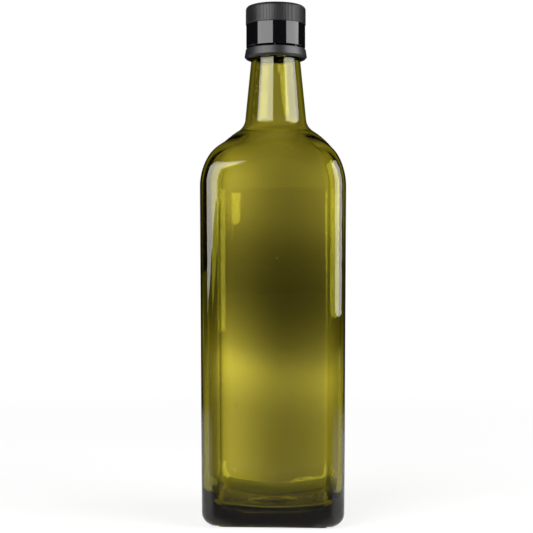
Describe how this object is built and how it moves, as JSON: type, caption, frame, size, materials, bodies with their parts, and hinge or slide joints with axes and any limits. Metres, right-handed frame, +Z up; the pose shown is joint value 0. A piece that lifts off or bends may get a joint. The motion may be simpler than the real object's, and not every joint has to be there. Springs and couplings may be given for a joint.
{
  "type": "square glass oil bottle",
  "caption": "Tall square bottle of dark olive green glass with a domed shoulder, tapered round neck, ribbed black screw cap and tamper band; empty.",
  "frame": {"origin": "middle of the foot, on the surface the bottle stands on", "axes": "+Z up along the neck; the four flat sides face +X, +Y, -X and -Y; -Y is the front"},
  "size_m": [0.0786, 0.0786, 0.2851],
  "materials": {
    "glass": "smooth dark olive green glass",
    "cap_plastic": "glossy black skirt under a finely ribbed satin grip",
    "band_plastic": "satin black"
  },
  "bodies": {
    "root": {"bottle": "glass", "cap": "cap_plastic", "tamper_band": "band_plastic"}
  },
  "joints": []
}
